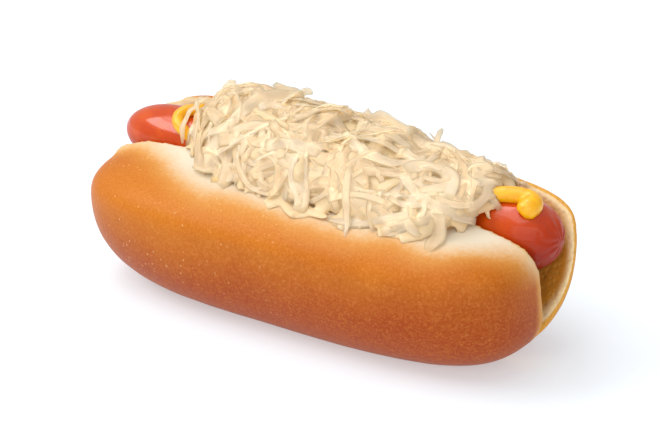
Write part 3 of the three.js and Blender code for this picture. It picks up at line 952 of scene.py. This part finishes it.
# Three shreds that stick up out of the heap, two that hang down the near half and two that bridge the mustard.
stray_shreds = [
    ([(-0.0420, -6, -0.002), (-0.0413, -7, 0.0005), (-0.0402, -8, 0.0022), (-0.0384, -9, 0.0034)], 0.0028, True),
    ([(0.0315, -18, -0.001), (0.0315, -19, 0.0015), (0.0316, -20, 0.003), (0.0319, -21, 0.0042)], 0.0018, True),
    ([(-0.0150, -12, -0.001), (-0.0155, -13, 0.001), (-0.0145, -15, 0.0022), (-0.0125, -16, 0.0018)], 0.0024, True),
    ([(0.0205, 40, 0.0003), (0.0225, 53, 0.0005), (0.0248, 66, 0.0006), (0.0272, 80, 0.0005)], 0.0026, False),
    ([(0.0500, 52, 0.0004), (0.0508, 62, 0.0006), (0.0512, 68, 0.0008), (0.0516, 74, 0.0006)], 0.0056, False),
    ([(-0.0420, 2, 0.0005), (-0.0438, 9, 0.0035), (-0.0454, 18, 0.0058), (-0.0466, 28, 0.0052),
      (-0.0462, 40, 0.0025)], 0.0022, False),
    ([(-0.0490, -6, 0.0040), (-0.0474, 2, 0.0062), (-0.0452, 10, 0.0056), (-0.0428, 18, 0.0030),
      (-0.0400, 26, 0.001)], 0.0016, False),
]

draw = random.Random(7)
spots = [tuple(spot) for spot in np.argwhere(on_heap)]
packed_shreds = strands("packed", strew(draw, packed_count))
loose_shreds = strew(draw, loose_count) + [single_shred(*stray) for stray in stray_shreds]
shred_piece = strands("sauerkraut_shreds", loose_shreds)


def cut_shreds(piece, flatness):
    """Sweeps a flat section along each middle line, then curls and ruffles the strip."""
    shredder = Builder("cabbage_shred")
    strip = shredder.add("GeometryNodeMeshToCurve", {}, {0: shredder.geometry()})
    face_out = shredder.named("face_out", "FLOAT_VECTOR")
    strip = shredder.add("GeometryNodeSetCurveNormal", {"mode": "FREE"}, {"Curve": strip, "Normal": face_out})
    section = shredder.add("GeometryNodeCurvePrimitiveCircle", {}, {"Resolution": 10, "Radius": 1.0})
    place = shredder.add("GeometryNodeInputPosition")
    section_x, section_y = (shredder.part_of(place, axis) for axis in range(2))
    flat = shredder.given("Flatness", flatness)
    flattened = shredder.add("ShaderNodeCombineXYZ", {}, {0: section_x * flat, 1: section_y})
    section = shredder.add("GeometryNodeSetPosition", {}, {"Geometry": section, "Position": flattened})
    store = {"Geometry": section, "Name": "across", "Value": section_y}
    section = shredder.add("GeometryNodeStoreNamedAttribute", {"data_type": "FLOAT"}, store)
    half = shredder.named("half_width")
    sweep = {"Curve": strip, "Profile Curve": section, "Scale": half, "Fill Caps": True}
    strip = shredder.add("GeometryNodeCurveToMesh", {}, sweep)
    across = shredder.named("across")
    ruffle_place = {0: shredder.named("along") * 180.0, 1: shredder.named("tone") * 90.0, 2: across * 0.8}
    ruffle_place = shredder.add("ShaderNodeCombineXYZ", {}, ruffle_place)
    ruffle = shredder.add("ShaderNodeTexNoise", {}, {"Vector": ruffle_place, "Scale": 1.0, "Detail": 0.0})
    rise = (shredder.named("cup") * (across * across - 0.3) + (ruffle - 0.5) * 0.5 * across) * half
    offset = shredder.add("ShaderNodeVectorMath", {"operation": "SCALE"}, {0: face_out, "Scale": rise})
    strip = shredder.add("GeometryNodeSetPosition", {}, {"Geometry": strip, "Offset": offset})
    shredder.make(piece, strip, cabbage.material)


cut_shreds(shred_piece, 0.1)
cut_shreds(packed_shreds, 0.3)
box_low, box_high = (np.array(corner) for corner in cad_box)
move_points(shred_piece, np.clip(points_of(shred_piece), box_low, box_high))
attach(shred_piece, "root")
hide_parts("sauerkraut")

# The heap's packed middle
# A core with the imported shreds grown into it, as one mass.
# It is cut clear of the bun, the sausage and the mustard that it lies on.
core_rings, core_around = 120, 120
core_least = 0.0005
core_numbers = dict(tone=0.6, from_tip=1.0, loose=0.0)
core_angle = (np.pi * np.arange(1, core_rings + 1) / (core_rings + 1))[:, None]
core_turn = (2 * np.pi * np.arange(core_around) / core_around)[None]
core_left = np.interp(-np.cos(core_turn), *zip(*heap_left))
core_right = np.interp(-np.cos(core_turn), *zip(*heap_right))
core_along = -rounded(np.cos(core_angle), 2 / heap_end_power)
core_x = (core_left + core_right) / 2 + core_along * ((core_right - core_left) / 2 - heap_cover)
core_share, core_top, core_near = heap_share(core_x, -np.cos(core_turn))
core_half = np.where(np.cos(core_turn) > 0, heap["far"], core_near) * core_share - heap_cover
core_tall = np.where(np.sin(core_turn) > 0, (core_top - heap["middle"]) * core_share - heap_cover, heap["droop"])
core_y = sausage_y + np.cos(core_turn) * np.maximum(core_half, core_least)
core_z = heap["middle"] + np.sin(core_turn) * np.maximum(core_tall, core_least)
end_places = (heap_left[0][1] + heap_cover, heap_right[0][1] - heap_cover)
core_ends = [(place, sausage_y, heap["middle"]) for place in end_places]
core_out = np.hypot(core_y - sausage_y, core_z - axis_z)
core_grown = 1 + heap_lumps(core_x + 0 * core_y, np.arctan2(sausage_y - core_y, core_z - axis_z)) / core_out
core_y = sausage_y + (core_y - sausage_y) * core_grown
core_z = axis_z + (core_z - axis_z) * core_grown
core_points = np.concatenate([np.stack([core_x + 0 * core_y, core_y, core_z], -1).reshape(-1, 3), core_ends])
core_faces = rings_to_faces(core_rings, core_around)
packed_mesh = packed_shreds.data
packed_faces = [[vertex + len(core_points) for vertex in face.vertices] for face in packed_mesh.polygons]
middle_points = np.concatenate([core_points, points_of(packed_shreds)])
core = mesh_piece("sauerkraut_middle", middle_points, core_faces + packed_faces)
bpy.data.objects.remove(packed_shreds)
modify(core, "REMESH", mode="VOXEL", voxel_size=heap_voxel)
modify(core, "SMOOTH", factor=0.5, iterations=heap_smoothing)
for held in (bun, sausage, mustard):
    modify(core, "BOOLEAN", operation="DIFFERENCE", solver="MANIFOLD", object=held)
settle(core)
core_points = np.clip(points_of(core), box_low, box_high)
move_points(core, core_points)
core_out = np.hypot(core_points[:, 1] - sausage_y, core_points[:, 2] - axis_z)
core_spot = cell_of(core_points[:, 0], np.arctan2(sausage_y - core_points[:, 1], core_points[:, 2] - axis_z))
keep_number(core, "high", core_out - ground[core_spot])
keep_number(core, "along", core_points[:, 0])
keep_number(core, "across", core_points[:, 1] / 0.002)
for number, value in core_numbers.items():
    keep_number(core, number, np.full(len(core_points), value))
cabbage.dress(core)
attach(core, "root")
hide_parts("sauerkraut")

# The floor and the light
# A plain white sheet under the food, a broad soft light above, one from the front and two narrow ones on the left.
sheet_half = 3
sheet_glow = 0.42
sky_strength = 0.55
lamp_distance = 1.5
lamp_height = 0.03
sheet_corners = [(x * sheet_half, y * sheet_half, 0) for x, y in ((-1, -1), (1, -1), (1, 1), (-1, 1))]
floor = mesh_piece("floor", sheet_corners, [(0, 1, 2, 3)])
sheet = Finish("white_sheet", Roughness=0.9, Emission_Color=(0.96, 0.98, 1.0, 1.0), Emission_Strength=sheet_glow)
sheet_grain = sheet.noise(sheet.place, 0.02)
sheet.feed("Base Color", sheet.colours(sheet_grain, paint(196, 203, 209), paint(200, 207, 213)))
sheet.dress(floor)

world = bpy.data.worlds.new("studio")
world.use_nodes = True
world.node_tree.nodes["Background"].inputs["Color"].default_value = (1.0, 1.0, 1.0, 1.0)
world.node_tree.nodes["Background"].inputs["Strength"].default_value = sky_strength
bpy.context.scene.world = world


def aim(thing, azimuth, elevation, distance, target):
    """Puts a lamp or camera round the object. Azimuth 0 looks along +Y and 90 along -X."""
    azimuth, elevation = math.radians(azimuth), math.radians(elevation)
    level = math.cos(elevation)
    away = Vector((math.sin(azimuth) * level, -math.cos(azimuth) * level, math.sin(elevation)))
    thing.location = Vector(target) + away * distance
    thing.rotation_euler = away.to_track_quat("Z", "Y").to_euler()


def lamp(name, azimuth, elevation, width, height, power):
    """A soft box at one distance from the food, on the side that the two angles give."""
    light = bpy.data.lights.new(name, "AREA")
    light.shape = "RECTANGLE"
    light.size = width
    light.size_y = height
    light.energy = power
    thing = bpy.data.objects.new(name, light)
    bpy.context.scene.collection.objects.link(thing)
    aim(thing, azimuth, elevation, lamp_distance, (0, 0, lamp_height))


lamp("key_lamp", -40, 72, 1.5, 1.0, 9)
lamp("front_lamp", 24, 26, 1.8, 1.0, 7)
lamp("left_lamp", -60, 40, 0.8, 0.52, 6.8)
lamp("side_lamp", -105, 62, 0.9, 0.35, 2.8)

# The camera
# A long lens a little over half a metre away, looking down on the near half from the right.
camera = bpy.data.objects.new("camera", bpy.data.cameras.new("camera"))
bpy.context.scene.collection.objects.link(camera)
camera.data.sensor_width = 36
camera.data.lens = 102.94
camera.data.clip_start = 0.01
aim(camera, azimuth=34.683, elevation=21.84, distance=0.56, target=(0.0024, hinge_y, 0.02786))
bpy.context.scene.camera = camera
bpy.context.scene.view_settings.view_transform = "Standard"
